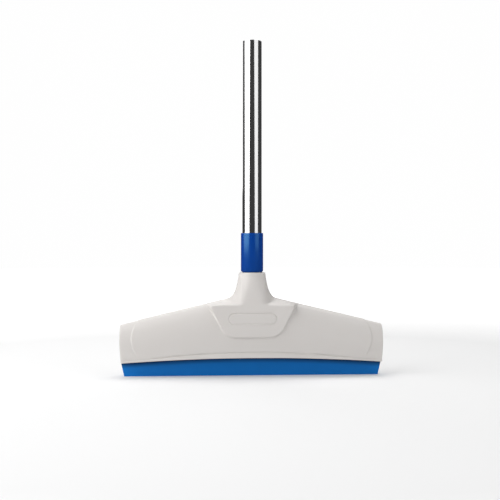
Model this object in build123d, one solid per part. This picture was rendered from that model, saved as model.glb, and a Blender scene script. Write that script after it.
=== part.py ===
"""Window cleaning squeegee with a short tube handle.

The head is two moulded half shells screwed together round a blade channel and a threaded
bush. The pole is a steel tube in a plastic ferrule whose threaded nose screws into the bush.
The rubber blade slides in the channel, and its lip bends.

Axes: X runs along the blade, -Y is the front, +Z points up the pole. The origin is the middle
of the blade's working edge. All sizes are in millimetres.
"""

from build123d import *

import math
import os

# ---------------------------------------------------------------- driving sizes
# head, seen from the front
HEAD_WIDTH = 300.0  # widest, a third of the way up the end faces
HEAD_TOP_INSET = 0.6  # each end face leans in by this much at its top
HEAD_FOOT_INSET = 1.8  # and by this much at its foot
HEAD_WIDEST_HEIGHT = 43.0
BLADE_REACH_MIDDLE = 21.4  # blade showing below the shell
BLADE_REACH_END = 15.7
RIDGE_HEIGHT_END = 58.8
SHOULDER_SLOPE = 0.24  # rise of the ridge for each mm towards the neck
NECK_RISE = 22.7  # neck rim above the point where the two shoulders would meet
NECK_TAPER = 0.125  # growth of the neck's radius for each mm down
FLARE_RADIUS = 17.0  # sweep from the shoulder up into the neck

# head, front to back
HALF_DEPTH_MIDDLE = 14.5
HALF_DEPTH_END = 9.5
CROWN_MIDDLE = 30.0  # height of the rounded top of a cross-section
CROWN_END = 26.0
WALL = 2.2
END_OVERRUN = 5.0  # plain body past each end face, before the ends are cut
NECK_SINK = 2.0  # of the neck into the pad

# raised pad below the neck, with its badge groove
PAD_TOP_HALF_WIDTH = 48.0
PAD_FOOT_HALF_WIDTH = 30.4
PAD_HEIGHT = 35.8
PAD_TOP_DROP = 14.3  # below the point where the two shoulders would meet
PAD_TOP_ROUND = 3.0
PAD_FOOT_ROUND = 13.0
PAD_DRAFT = 6.0  # spread of the pad's outline from its face back to the middle plane
PAD_PROUD = 2.1  # pad face in front of the neck's rim
RIDGE_COVER = 0.6  # the pad's roof meets the middle plane this far below the ridge
BADGE_LENGTH = 55.0
BADGE_HEIGHT = 13.2
BADGE_DROP = 15.0  # badge centre below the pad's top edge
BADGE_LINE = 1.0
BADGE_DEPTH = 0.5

# lip along the shell's lower edge, and the slightly sunken end panels
LIP_PROUD = 1.2
LIP_HEIGHT_MIDDLE = 5.0
LIP_HEIGHT_END = 1.5
END_PANEL_WIDTH = 15.0
END_PANEL_BOW = 2.5
END_PANEL_SINK = 0.7

# pole
TUBE_DIAMETER = 22.0
TUBE_WALL = 0.8
TUBE_LENGTH = 259.6
GROOVE_HEIGHT = 3.0  # rolled groove round the tube, just under the ferrule's rim
GROOVE_DEPTH = 0.3
FERRULE_WALL = 1.7
FERRULE_LENGTH = 45.0
FERRULE_FLOOR = 4.0
FERRULE_FOOT_CHAMFER = 1.7
FERRULE_RIM_ROUND = 0.5
FERRULE_PLAY = 0.6  # between the ferrule and the neck's bore
END_BUSH_LENGTH = 30.0
END_BUSH_FLOOR = 3.0
END_BUSH_WALL = 2.15

# thread that joins the ferrule to the head
THREAD_PITCH = 5.0
THREAD_TURNS = 4  # engaged
THREAD_DEPTH = 1.6
THREAD_ROOT_WIDTH = 2.4
THREAD_CREST_WIDTH = 1.2
THREAD_PLAY = 0.3  # radial play
THREAD_FLANK_PLAY = 0.2  # axial play on each flank
THREAD_SINK = 0.5  # of a ridge into the core that carries it
NOSE_BORE_RADIUS = 5.0
NOSE_LEAD = 2.0  # plain end of the nose

# bush in the neck
BUSH_BODY_WALL = 3.4  # outside the thread's groove
BUSH_TAIL = 7.0  # length past the nose
FLANGE_PROUD = 2.0
FLANGE_THICK = 2.0
FLANGE_FLAT_PROUD = 0.5
NECK_WALL = 1.8
SLEEVE_WALL = 2.0  # of the shell round the bush
SLEEVE_TAIL = 14.0
SHOULDER_LEDGE = 2.2

WASHER_THICK = 1.0
WASHER_DROP = 0.2  # top of the washer below the neck's rim
WASHER_PLAY = 0.8  # outside the thread's crest

# blade and its channel
BLADE_THICK = 3.2
BLADE_EDGE_THICK = 2.2
BLADE_BEAD_WIDTH = 6.2
BLADE_BEAD_HEIGHT = 3.8
BLADE_WEB_HEIGHT = 6.2
BLADE_FLEX_HEIGHT = 23.2  # line about which the lip bends
BLADE_END_TRIM = 3.2  # the lip's ends are cut at a slant
BLADE_TRIM_HEIGHT = 14.0
BLADE_PLAY = 0.25
CHANNEL_WALL = 1.6
CHANNEL_TOP_WALL = 1.6
CHANNEL_WING = 1.7  # wings at its top, held by the ribs
CHANNEL_STAND_OFF = 1.2  # jaws above the top of the lip

# ribs and screws
RIB_THICK = 1.8
RIB_PLACES = (0.1, 0.31, 0.52, 0.73)  # shares of the half width
SCREW_RADIUS = 1.5
SCREW_HEAD_RADIUS = 3.2
SCREW_HEAD_HEIGHT = 2.2
SCREW_HEAD_ROUND = 1.0
SCREW_TIP_RADIUS = 0.4
SCREW_SEAT_DEPTH = 6.0  # seat of the head behind the middle plane
SCREW_LENGTH = 12.4
SCREW_SLOT = 0.9  # width and half the depth of each arm of the cross recess
SCREW_SLOT_LENGTH = 4.2
SCREW_CLEARANCE = 0.4  # round the head and past the tip
SCREW_BELOW_RIDGE = 18.0
SCREW_PLACES = (0.2, 0.52, 0.83)  # shares of the half width, like the ribs'
BOSS_WALL = 1.9
RIVET_RADIUS = 1.5
RIVET_HEAD_RADIUS = 2.6
RIVET_HEAD_HEIGHT = 0.9
RIVET_TAIL = 1.0  # inside the tube
RIVET_PLACE = 0.72  # share of the ferrule's length

END_GAP_HALF_WIDTH = 6.2  # open ends below the channel, where the lip swings

FIT = 0.05  # between parts that are pressed or set together
LOOSE = 0.1  # round parts that are dropped into the moulding

# ---------------------------------------------------------------- worked-out sizes
HALF_WIDTH = HEAD_WIDTH / 2
FOOT_HALF_WIDTH = HALF_WIDTH - HEAD_FOOT_INSET
TOP_HALF_WIDTH = HALF_WIDTH - HEAD_TOP_INSET
APEX_HEIGHT = RIDGE_HEIGHT_END + SHOULDER_SLOPE * HALF_WIDTH
NECK_TOP = APEX_HEIGHT + NECK_RISE

TUBE_RADIUS = TUBE_DIAMETER / 2
TUBE_BORE = TUBE_RADIUS - TUBE_WALL
FERRULE_RADIUS = TUBE_RADIUS + FERRULE_WALL
NECK_BORE = FERRULE_RADIUS + FERRULE_PLAY
NECK_RADIUS = NECK_BORE + NECK_WALL
PAD_DEPTH = NECK_RADIUS + PAD_PROUD
PAD_TOP = APEX_HEIGHT - PAD_TOP_DROP
PAD_FOOT = PAD_TOP - PAD_HEIGHT

BUSH_RADIUS = NECK_BORE - LOOSE
GROOVE_RADIUS = BUSH_RADIUS - BUSH_BODY_WALL
TAP_RADIUS = GROOVE_RADIUS - THREAD_DEPTH
NOSE_RADIUS = TAP_RADIUS - THREAD_PLAY
WASHER_TOP = NECK_TOP - WASHER_DROP
BUSH_TOP = WASHER_TOP - WASHER_THICK
THREAD_LENGTH = THREAD_TURNS * THREAD_PITCH
NOSE_LENGTH = THREAD_LENGTH + NOSE_LEAD
NOSE_END = WASHER_TOP - NOSE_LENGTH
BUSH_FOOT = NOSE_END - BUSH_TAIL
SLEEVE_RADIUS = BUSH_RADIUS + SLEEVE_WALL
SLEEVE_FOOT = BUSH_FOOT - SLEEVE_TAIL
FLANGE_HEIGHT = NOSE_END - FLANGE_THICK

FERRULE_TOP = WASHER_TOP + FERRULE_LENGTH
TUBE_FOOT = WASHER_TOP + FERRULE_FLOOR + FIT
TUBE_TOP = TUBE_FOOT + TUBE_LENGTH
END_BUSH_RADIUS = TUBE_BORE - FIT
END_BUSH_BORE = END_BUSH_RADIUS - END_BUSH_WALL

LIP_TOP = BLADE_FLEX_HEIGHT + BLADE_THICK / 2
WEB_FOOT = LIP_TOP + BLADE_PLAY
BEAD_FOOT = WEB_FOOT + BLADE_WEB_HEIGHT
BEAD_TOP = BEAD_FOOT + BLADE_BEAD_HEIGHT
CHANNEL_FOOT = LIP_TOP + CHANNEL_STAND_OFF
CHANNEL_TOP = BEAD_TOP + BLADE_PLAY + CHANNEL_TOP_WALL
CHANNEL_HALF_WIDTH = BLADE_BEAD_WIDTH / 2 + BLADE_PLAY + CHANNEL_WALL
WING_HALF_WIDTH = CHANNEL_HALF_WIDTH + CHANNEL_WING

BOSS_RADIUS = SCREW_HEAD_RADIUS + SCREW_CLEARANCE + BOSS_WALL
FAR = 500.0  # bigger than anything here
OVER = 1.0  # a cutter runs this far past the surface it cuts
UP = (Align.CENTER, Align.CENTER, Align.MIN)


# ---------------------------------------------------------------- small helpers
def rod(radius, foot, top):
    """Upright cylinder about the pole's axis."""
    return Pos(0, 0, foot) * Cylinder(radius, top - foot, align=UP)


def across(radius, x, z, y_front, y_back):
    """Cylinder that runs front to back at (x, z)."""
    middle = (y_front + y_back) / 2
    return Pos(x, middle, z) * Rot(90, 0, 0) * Cylinder(radius, y_back - y_front)


def front_prism(outline, y_front=-FAR, y_back=FAR):
    """Solid between two depths with an outline drawn in the X-Z plane."""
    face = Plane(origin=(0, y_back, 0), x_dir=(1, 0, 0), z_dir=(0, -1, 0)) * make_face(outline)
    return extrude(face, amount=y_back - y_front)


def along_blade(outline, half_length):
    """Bar along X with a cross-section drawn in the Y-Z plane."""
    plane = Plane(origin=(-half_length, 0, 0), x_dir=(0, 1, 0), z_dir=(1, 0, 0))
    return extrude(plane * make_face(outline), amount=2 * half_length)


def both_sides(half):
    """A half on +X joined with its mirror image."""
    return half + half.mirror(Plane.YZ)


def screw_points():
    """Places of the shell screws: x, z."""
    for share in SCREW_PLACES:
        x = share * HALF_WIDTH
        for side in (-1, 1):
            yield side * x, shoulder_height(x) - SCREW_BELOW_RIDGE


# ---------------------------------------------------------------- head form
def shoulder_height(x):
    """Straight line of the ridge."""
    return APEX_HEIGHT - SHOULDER_SLOPE * abs(x)


def half_depth(x):
    """Half the head's depth, fullest in the middle."""
    return HALF_DEPTH_MIDDLE - (HALF_DEPTH_MIDDLE - HALF_DEPTH_END) * (x / HALF_WIDTH) ** 2


def crown_height(x):
    return CROWN_MIDDLE - (CROWN_MIDDLE - CROWN_END) * abs(x) / HALF_WIDTH


def flare_points(count=5):
    """Points on the arc that turns the shoulder line up into the neck's side, from neck to shoulder."""
    steep = math.hypot(1, NECK_TAPER)
    flat = math.hypot(1, SHOULDER_SLOPE)
    # Arc centre: FLARE_RADIUS outside the neck line and above the shoulder line.
    neck_offset = NECK_RADIUS + NECK_TAPER * NECK_TOP + FLARE_RADIUS * steep
    shoulder_offset = APEX_HEIGHT + FLARE_RADIUS * flat
    z = (shoulder_offset - SHOULDER_SLOPE * neck_offset) / (1 - SHOULDER_SLOPE * NECK_TAPER)
    x = neck_offset - NECK_TAPER * z
    start = math.atan2(-NECK_TAPER, -1)
    end = math.atan2(-1, -SHOULDER_SLOPE)
    for i in range(count):
        angle = start + (end - start) * i / (count - 1)
        yield x + FLARE_RADIUS * math.cos(angle), z + FLARE_RADIUS * math.sin(angle)


def cross_section(x, top, grow=0.0):
    """Upright section of the head: straight sides under a half-elliptical crown."""
    deep = half_depth(x) + grow
    spring = top + grow - crown_height(x)
    outline = [
        Line((deep, -grow), (deep, spring)),
        EllipticalCenterArc((0, spring), deep, crown_height(x), arc_size=180),
        Line((-deep, spring), (-deep, -grow)),
        Line((-deep, -grow), (deep, -grow)),
    ]
    return Plane(origin=(x, 0, 0), x_dir=(0, 1, 0), z_dir=(1, 0, 0)) * make_face(outline)


def plain_body(grow=0.0):
    """Both shoulders without the flare, as wide as the head and a little more."""
    reach = HALF_WIDTH + END_OVERRUN
    stations = [reach * share for share in (0.0, 0.25, 0.5, 0.75, 1.0)]
    return both_sides(loft([cross_section(x, shoulder_height(x), grow) for x in stations]))


def flare_web():
    """Crest that sweeps up from each shoulder to the neck."""
    points = list(flare_points())
    web = loft([cross_section(x, z) for x, z in points])
    first_x, first_z = points[0]
    core = extrude(cross_section(first_x, first_z), amount=-first_x)
    return both_sides(web + core)


def head_outline(inset=0.0):
    """The head from the front, without its top: a lower edge that arches, and bowed ends."""
    foot, top, wide = FOOT_HALF_WIDTH - inset, TOP_HALF_WIDTH - inset, HALF_WIDTH - inset
    foot_z = BLADE_REACH_END
    sides = [
        ThreePointArc((s * foot, foot_z), (s * wide, HEAD_WIDEST_HEIGHT), (s * top, RIDGE_HEIGHT_END))
        for s in (-1, 1)
    ]
    return [
        ThreePointArc((-foot, foot_z), (0, BLADE_REACH_MIDDLE), (foot, foot_z)),
        *sides,
        Polyline((-top, RIDGE_HEIGHT_END), (-top, NECK_TOP), (top, NECK_TOP), (top, RIDGE_HEIGHT_END)),
    ]


def lip_band():
    """Band along the lower edge that narrows towards the ends."""
    foot, foot_z = FOOT_HALF_WIDTH, BLADE_REACH_END
    return [
        ThreePointArc((-foot, foot_z), (0, BLADE_REACH_MIDDLE), (foot, foot_z)),
        Line((foot, foot_z), (foot, foot_z + LIP_HEIGHT_END)),
        ThreePointArc(
            (foot, foot_z + LIP_HEIGHT_END),
            (0, BLADE_REACH_MIDDLE + LIP_HEIGHT_MIDDLE),
            (-foot, foot_z + LIP_HEIGHT_END),
        ),
        Line((-foot, foot_z + LIP_HEIGHT_END), (-foot, foot_z)),
    ]


def end_panel_area():
    """Area outside the bowed line near the right end."""
    x = HALF_WIDTH - END_PANEL_WIDTH
    return [
        ThreePointArc((x, NECK_TOP), (x + END_PANEL_BOW / 2, HEAD_WIDEST_HEIGHT), (x - END_PANEL_BOW, 0)),
        Polyline((x - END_PANEL_BOW, 0), (FAR, 0), (FAR, NECK_TOP), (x, NECK_TOP)),
    ]


def pad_outline(spread, corner_height, middle_height):
    """Pad from the front, `spread` bigger all round, with its top edge peaked in the middle."""
    lean = (PAD_TOP_HALF_WIDTH - PAD_FOOT_HALF_WIDTH) / PAD_HEIGHT
    side_spread = spread * math.hypot(1, lean)
    foot = PAD_FOOT - spread
    foot_x = PAD_FOOT_HALF_WIDTH + side_spread - lean * spread
    top_x = PAD_TOP_HALF_WIDTH + side_spread + lean * (corner_height - PAD_TOP)
    right = Polyline((0, foot), (foot_x, foot), (top_x, corner_height), (0, middle_height))
    left = Polyline((0, middle_height), (-top_x, corner_height), (-foot_x, foot), (0, foot))
    face = make_face([right, left])
    low = [v for v in face.vertices() if abs(v.Y - foot) < 0.01 and abs(v.X) > 1]
    face = fillet(low, PAD_FOOT_ROUND + max(spread, 0))
    high = [v for v in face.vertices() if abs(abs(v.X) - top_x) < 0.01]
    return fillet(high, PAD_TOP_ROUND + max(spread, 0) / 2)


def pad_block(shrink=0.0):
    """Pad with drafted sides, from the front face to the rear face. A roof slopes up behind its top."""
    edge = PAD_TOP - shrink
    ridge_x = PAD_TOP_HALF_WIDTH + PAD_DRAFT
    corner = shoulder_height(ridge_x) - RIDGE_COVER - shrink
    near = Plane(origin=(0, shrink - PAD_DEPTH, 0), x_dir=(1, 0, 0), z_dir=(0, -1, 0))
    front = loft(
        [
            near * pad_outline(-shrink, edge, edge),
            Plane.XZ * pad_outline(PAD_DRAFT - shrink, corner, APEX_HEIGHT - RIDGE_COVER - shrink),
        ],
        ruled=True,
    )
    return front + front.mirror(Plane.XZ)


def neck_form():
    """Tapered neck about the pole's axis, flush with the pad's face where it would stand proud of it."""
    foot = PAD_TOP - NECK_SINK
    profile = Polyline(
        (0, foot),
        (NECK_RADIUS + NECK_TAPER * (NECK_TOP - foot), foot),
        (NECK_RADIUS, NECK_TOP),
        (0, NECK_TOP),
        close=True,
    )
    neck = revolve(Plane.XZ * make_face(profile), Axis.Z)
    return neck & Box(FAR, 2 * PAD_DEPTH, FAR)


def head_form():
    """Outside of the head as one solid."""
    ends = front_prism(head_outline())
    body = (plain_body() + flare_web()) & ends
    raised = plain_body(LIP_PROUD) & front_prism(lip_band())
    sunk = both_sides(front_prism(end_panel_area()))
    sunk = sunk & (plain_body(END_PANEL_SINK) - plain_body(-END_PANEL_SINK))
    body = body + pad_block() - sunk + raised
    return body + neck_form()


def hollow():
    """Inside of the head, open at the bottom, without the material round the bush."""
    body = plain_body(-WALL) & front_prism(head_outline(WALL))
    below = front_prism(
        Polyline((-FAR, 0), (FAR, 0), (FAR, BLADE_REACH_MIDDLE), (-FAR, BLADE_REACH_MIDDLE), close=True)
    )
    mouth = plain_body(-WALL) & below & Box(2 * (HALF_WIDTH - WALL), FAR, FAR)
    space = body + mouth + pad_block(WALL)
    return space - rod(SLEEVE_RADIUS, SLEEVE_FOOT, NECK_TOP)


def channel_outline(play=0.0):
    """Outside of the blade channel, a box with two wings at its top."""
    a, w = CHANNEL_HALF_WIDTH + play, WING_HALF_WIDTH + play
    low, high = CHANNEL_FOOT - play, CHANNEL_TOP + play
    ledge = CHANNEL_TOP - CHANNEL_TOP_WALL - play
    return Polyline((-a, low), (a, low), (a, ledge), (w, ledge), (w, high), (-w, high), (-w, ledge),
                    (-a, ledge), close=True)


def ribs(space):
    """Upright plates inside the hollow, from the crown down to the channel's jaws."""
    plates = [
        Pos(side * share * HALF_WIDTH, 0, CHANNEL_FOOT) * Box(RIB_THICK, FAR, FAR, align=UP)
        for share in RIB_PLACES
        for side in (-1, 1)
    ]
    return space & Part() + plates


def flange(play=0.0):
    """Flange round the bush, with two flats that stop it turning."""
    ring = rod(BUSH_RADIUS + FLANGE_PROUD + play, FLANGE_HEIGHT - play, FLANGE_HEIGHT + FLANGE_THICK + play)
    return ring & Box(FAR, 2 * (BUSH_RADIUS + FLANGE_FLAT_PROUD + play), FAR)


def badge_groove():
    """Shallow oval line in the pad's face."""
    centre = PAD_TOP - BADGE_DROP
    outer = SlotOverall(BADGE_LENGTH, BADGE_HEIGHT)
    ring = outer - SlotOverall(BADGE_LENGTH - 2 * BADGE_LINE, BADGE_HEIGHT - 2 * BADGE_LINE)
    plane = Plane(origin=(0, -PAD_DEPTH + BADGE_DEPTH, centre), x_dir=(1, 0, 0), z_dir=(0, -1, 0))
    return extrude(plane * ring, amount=BADGE_DEPTH + OVER)


def shells():
    """Front and rear half shells."""
    form, space = head_form(), hollow()
    bosses = Part() + [across(BOSS_RADIUS, x, z, -FAR, FAR) for x, z in screw_points()]
    inside = ribs(space) + (space & bosses)
    whole = form - space + inside
    whole = whole - rod(NECK_BORE, BUSH_FOOT - LOOSE, NECK_TOP + OVER)
    whole = whole - rod(NECK_BORE - SHOULDER_LEDGE, SLEEVE_FOOT - OVER, NECK_TOP)
    whole = whole - flange(LOOSE) - along_blade(channel_outline(LOOSE), HALF_WIDTH + OVER)
    gap = Box(2 * (HALF_WIDTH + OVER), 2 * END_GAP_HALF_WIDTH, 2 * CHANNEL_FOOT)
    whole = whole - gap
    front = whole & Pos(0, -FAR, 0) * Box(2 * FAR, 2 * FAR, 2 * FAR)
    rear = whole - Pos(0, -FAR, 0) * Box(2 * FAR, 2 * FAR, 2 * FAR)
    tip = SCREW_SEAT_DEPTH - SCREW_LENGTH
    for x, z in screw_points():
        front = front - across(SCREW_RADIUS + FIT, x, z, tip - SCREW_CLEARANCE, OVER)
        rear = rear - across(SCREW_RADIUS + LOOSE, x, z, -OVER, SCREW_SEAT_DEPTH + OVER)
        rear = rear - across(SCREW_HEAD_RADIUS + SCREW_CLEARANCE, x, z, SCREW_SEAT_DEPTH, FAR)
    return front - badge_groove(), rear


# ---------------------------------------------------------------- fittings of the head
def shell_screws():
    """Self-tapping screws with cross-recessed pan heads, driven from the rear."""
    made = []
    for x, z in screw_points():
        shank_end = SCREW_SEAT_DEPTH - SCREW_LENGTH + 2 * SCREW_RADIUS
        shank = across(SCREW_RADIUS, x, z, shank_end, SCREW_SEAT_DEPTH + LOOSE)
        cone = Cone(SCREW_RADIUS, SCREW_TIP_RADIUS, 2 * SCREW_RADIUS)
        point = Pos(x, shank_end - SCREW_RADIUS, z) * Rot(90, 0, 0) * cone
        head = across(SCREW_HEAD_RADIUS, x, z, SCREW_SEAT_DEPTH, SCREW_SEAT_DEPTH + SCREW_HEAD_HEIGHT)
        rim = head.edges().filter_by(GeomType.CIRCLE).sort_by(Axis.Y)[-1]
        head = fillet(rim, SCREW_HEAD_ROUND)
        for turn in (0, 90):
            slot = Rot(0, turn, 0) * Box(SCREW_SLOT_LENGTH, 2 * SCREW_SLOT, SCREW_SLOT)
            head = head - Pos(x, SCREW_SEAT_DEPTH + SCREW_HEAD_HEIGHT, z) * slot
        made.append((shank + point + head).solid())
    return Compound(made)


def thread_ridge(root, depth, root_width, crest_width, foot, length):
    """Helical ridge with a trapezoid section, sunk a little into the core that carries it."""
    slope = (root_width - crest_width) / 2 / depth
    wide = root_width / 2 + slope * THREAD_SINK
    outline = Polyline((-THREAD_SINK, -wide), (depth, -crest_width / 2), (depth, crest_width / 2),
                       (-THREAD_SINK, wide), close=True)
    plane = Plane(origin=(root, 0, foot), x_dir=(1, 0, 0), z_dir=(0, -1, 0))
    path = Helix(THREAD_PITCH, length, root, center=(0, 0, foot))
    return sweep(plane * make_face(outline), path=path, is_frenet=True)


def threaded_bush():
    """Bush with the female thread, held in the neck by its flange."""
    extra = 2 * THREAD_FLANK_PLAY
    start = NOSE_END + NOSE_LEAD - 3 * THREAD_PITCH
    tap = rod(TAP_RADIUS, start - THREAD_PITCH, BUSH_TOP + 2 * THREAD_PITCH) + thread_ridge(
        TAP_RADIUS, THREAD_DEPTH, THREAD_ROOT_WIDTH + extra, THREAD_CREST_WIDTH + extra,
        start, BUSH_TOP - start + THREAD_PITCH)
    return rod(BUSH_RADIUS, BUSH_FOOT, BUSH_TOP) + flange() - tap


def blade_channel():
    """Straight extrusion that grips the blade's bead."""
    half_bead = BLADE_BEAD_WIDTH / 2 + BLADE_PLAY
    half_web = BLADE_THICK / 2 + BLADE_PLAY
    low = BEAD_FOOT - BLADE_PLAY
    bead = Polyline((-half_bead, low), (half_bead, low), (half_bead, BEAD_TOP + BLADE_PLAY),
                    (-half_bead, BEAD_TOP + BLADE_PLAY), close=True)
    web = Polyline((-half_web, 0), (half_web, 0), (half_web, low + OVER), (-half_web, low + OVER),
                   close=True)
    bar = along_blade(channel_outline(), FOOT_HALF_WIDTH)
    return bar - along_blade(bead, HALF_WIDTH) - along_blade(web, HALF_WIDTH)


def neck_washer():
    """Flat ring between the ferrule's shoulder and the bush."""
    inner = NOSE_RADIUS + THREAD_DEPTH + WASHER_PLAY
    return rod(FERRULE_RADIUS - LOOSE, BUSH_TOP, WASHER_TOP) - rod(inner, BUSH_TOP - OVER, WASHER_TOP + OVER)


# ---------------------------------------------------------------- blade
def blade_bead():
    """Part of the rubber blade that stays in the channel: a bead on a web."""
    web, bead = BLADE_THICK / 2, BLADE_BEAD_WIDTH / 2
    outline = Polyline((-web, WEB_FOOT), (web, WEB_FOOT), (web, BEAD_FOOT), (bead, BEAD_FOOT),
                       (bead, BEAD_TOP), (-bead, BEAD_TOP), (-bead, BEAD_FOOT), (-web, BEAD_FOOT), close=True)
    return along_blade(outline, FOOT_HALF_WIDTH)


def blade_lip():
    """Part of the rubber blade that bends: round at its root, thinner at its edge, ends cut at a slant."""
    root, edge = BLADE_THICK / 2, BLADE_EDGE_THICK / 2
    outline = [
        Line((-edge, 0), (edge, 0)),
        Line((edge, 0), (root, BLADE_FLEX_HEIGHT)),
        CenterArc((0, BLADE_FLEX_HEIGHT), root, 0, 180),
        Line((-root, BLADE_FLEX_HEIGHT), (-edge, 0)),
    ]
    wide, narrow = FOOT_HALF_WIDTH, FOOT_HALF_WIDTH - BLADE_END_TRIM
    trim = Polyline((-narrow, 0), (narrow, 0), (wide, BLADE_TRIM_HEIGHT), (wide, LIP_TOP), (-wide, LIP_TOP),
                    (-wide, BLADE_TRIM_HEIGHT), close=True)
    return along_blade(outline, FOOT_HALF_WIDTH) & front_prism(trim)


# ---------------------------------------------------------------- pole
def ferrule():
    """Sleeve round the tube, with a hollow threaded nose that screws into the neck."""
    sleeve = rod(FERRULE_RADIUS, WASHER_TOP, FERRULE_TOP)
    ends = sleeve.edges().filter_by(GeomType.CIRCLE).sort_by(Axis.Z)
    sleeve = chamfer(ends[0], FERRULE_FOOT_CHAMFER)
    sleeve = fillet(sleeve.edges().filter_by(GeomType.CIRCLE).sort_by(Axis.Z)[-1], FERRULE_RIM_ROUND)
    nose = rod(NOSE_RADIUS, NOSE_END, WASHER_TOP + OVER) + thread_ridge(
        NOSE_RADIUS, THREAD_DEPTH, THREAD_ROOT_WIDTH, THREAD_CREST_WIDTH,
        NOSE_END + NOSE_LEAD, THREAD_LENGTH - THREAD_PITCH / 2)
    body = nose + sleeve
    body = body - rod(TUBE_RADIUS + FIT, WASHER_TOP + FERRULE_FLOOR, FERRULE_TOP + OVER)
    body = body - rod(NOSE_BORE_RADIUS, NOSE_END - OVER, WASHER_TOP + OVER)
    return body - across(RIVET_RADIUS + FIT, 0, ferrule_rivet_height(), 0, FAR)


def ferrule_rivet_height():
    return WASHER_TOP + RIVET_PLACE * FERRULE_LENGTH


def pole_tube():
    """Steel tube. A rolled groove under the ferrule's rim keeps it from pulling out."""
    tube = rod(TUBE_RADIUS, TUBE_FOOT, TUBE_TOP) - rod(TUBE_BORE, TUBE_FOOT - OVER, TUBE_TOP + OVER)
    groove_foot = FERRULE_TOP - GROOVE_HEIGHT
    groove = rod(TUBE_RADIUS + OVER, groove_foot, FERRULE_TOP)
    groove = groove - rod(TUBE_RADIUS - GROOVE_DEPTH, groove_foot, FERRULE_TOP)
    return tube - groove - across(RIVET_RADIUS + FIT, 0, ferrule_rivet_height(), 0, FAR)


def end_bush():
    """Bush pressed into the tube's top, with a blind bore for a hanging cap or an extension."""
    foot = TUBE_TOP - END_BUSH_LENGTH
    bore = rod(END_BUSH_BORE, foot + END_BUSH_FLOOR, TUBE_TOP + OVER)
    return rod(END_BUSH_RADIUS, foot, TUBE_TOP) - bore


def ferrule_rivet():
    """Rivet from the rear that holds the tube in the ferrule, with a domed head."""
    z, seat = ferrule_rivet_height(), FERRULE_RADIUS
    shank = across(RIVET_RADIUS, 0, z, TUBE_BORE - RIVET_TAIL, seat + RIVET_HEAD_HEIGHT / 3)
    dome_radius = (RIVET_HEAD_RADIUS**2 + RIVET_HEAD_HEIGHT**2) / (2 * RIVET_HEAD_HEIGHT)
    dome = Pos(0, seat + RIVET_HEAD_HEIGHT - dome_radius, z) * Sphere(dome_radius)
    return shank + (dome & across(RIVET_HEAD_RADIUS, 0, z, seat, seat + RIVET_HEAD_HEIGHT))


def main():
    front, rear = shells()
    nodes = {
        "front_shell": front,
        "rear_shell": rear,
        "shell_screws": shell_screws(),
        "threaded_bush": threaded_bush(),
        "blade_channel": blade_channel(),
        "neck_washer": neck_washer(),
        "blade_bead": blade_bead(),
        "blade_lip": blade_lip(),
        "ferrule": ferrule(),
        "ferrule_rivet": ferrule_rivet(),
        "pole_tube": pole_tube(),
        "end_bush": end_bush(),
    }
    os.makedirs("parts", exist_ok=True)
    for name, shape in nodes.items():
        export_step(shape, f"parts/{name}.step")


main()
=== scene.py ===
"""Window cleaning squeegee: the visual model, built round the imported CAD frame.

The head is two moulded half shells on a rubber blade. The pole is a plated tube in a ferrule
that screws into the head's neck. Lengths are in metres. X runs along the blade, -Y is the front
and +Z points up the pole.
"""

import math

import bpy
import numpy as np
from bpy.props import FloatProperty, FloatVectorProperty, IntProperty, PointerProperty
from bpy.types import Operator, Panel, PropertyGroup
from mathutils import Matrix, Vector


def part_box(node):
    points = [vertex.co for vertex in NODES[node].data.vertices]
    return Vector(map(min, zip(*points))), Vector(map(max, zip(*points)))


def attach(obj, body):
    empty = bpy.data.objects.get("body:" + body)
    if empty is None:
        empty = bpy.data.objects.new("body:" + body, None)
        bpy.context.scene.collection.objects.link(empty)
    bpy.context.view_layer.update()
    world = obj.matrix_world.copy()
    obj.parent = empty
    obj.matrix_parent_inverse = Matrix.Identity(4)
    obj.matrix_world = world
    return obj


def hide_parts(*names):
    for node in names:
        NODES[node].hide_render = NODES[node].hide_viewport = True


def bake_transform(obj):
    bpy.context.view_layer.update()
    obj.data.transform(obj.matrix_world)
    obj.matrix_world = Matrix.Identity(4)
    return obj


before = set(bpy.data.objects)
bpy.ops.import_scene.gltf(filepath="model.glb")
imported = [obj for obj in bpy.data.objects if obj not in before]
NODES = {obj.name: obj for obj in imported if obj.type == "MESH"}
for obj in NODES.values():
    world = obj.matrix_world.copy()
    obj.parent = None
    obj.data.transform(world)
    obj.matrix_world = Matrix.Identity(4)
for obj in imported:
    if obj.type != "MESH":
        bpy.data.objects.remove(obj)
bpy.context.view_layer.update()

bl_info = {
    "name": "Window cleaning squeegee",
    "version": (1, 0, 0),
    "blender": (4, 5, 0),
    "location": "View3D > Sidebar > Squeegee",
    "description": "Builds a window squeegee with a moulded head, a rubber blade and a screw-in pole",
    "category": "Add Mesh",
}

MM = 0.001
MERGE = 0.001 * MM  # vertices closer than this are one
AXIS = 0.0002 * MM  # smallest ring of a lathed piece, which merges to a point
FIT = 0.05 * MM  # play between a hole and what goes into it
STRAIGHT_PLACE = "straight_place"  # attribute: where each point of the blade is while it is unbent


def low(node):
    """Lowest corner of a CAD node."""
    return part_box(node)[0]


def high(node):
    """Highest corner of a CAD node."""
    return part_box(node)[1]


def turned(node):
    """Radius, foot and top of a round CAD node."""
    return high(node).x, low(node).z, high(node).z


# ---------------------------------------------------------------- shader maths
def maths(operation, swapped=False):
    """Method that adds the Math node of one Python operator."""

    def method(self, other):
        return self.math(operation, *((other, self) if swapped else (self, other)))

    return method


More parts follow.
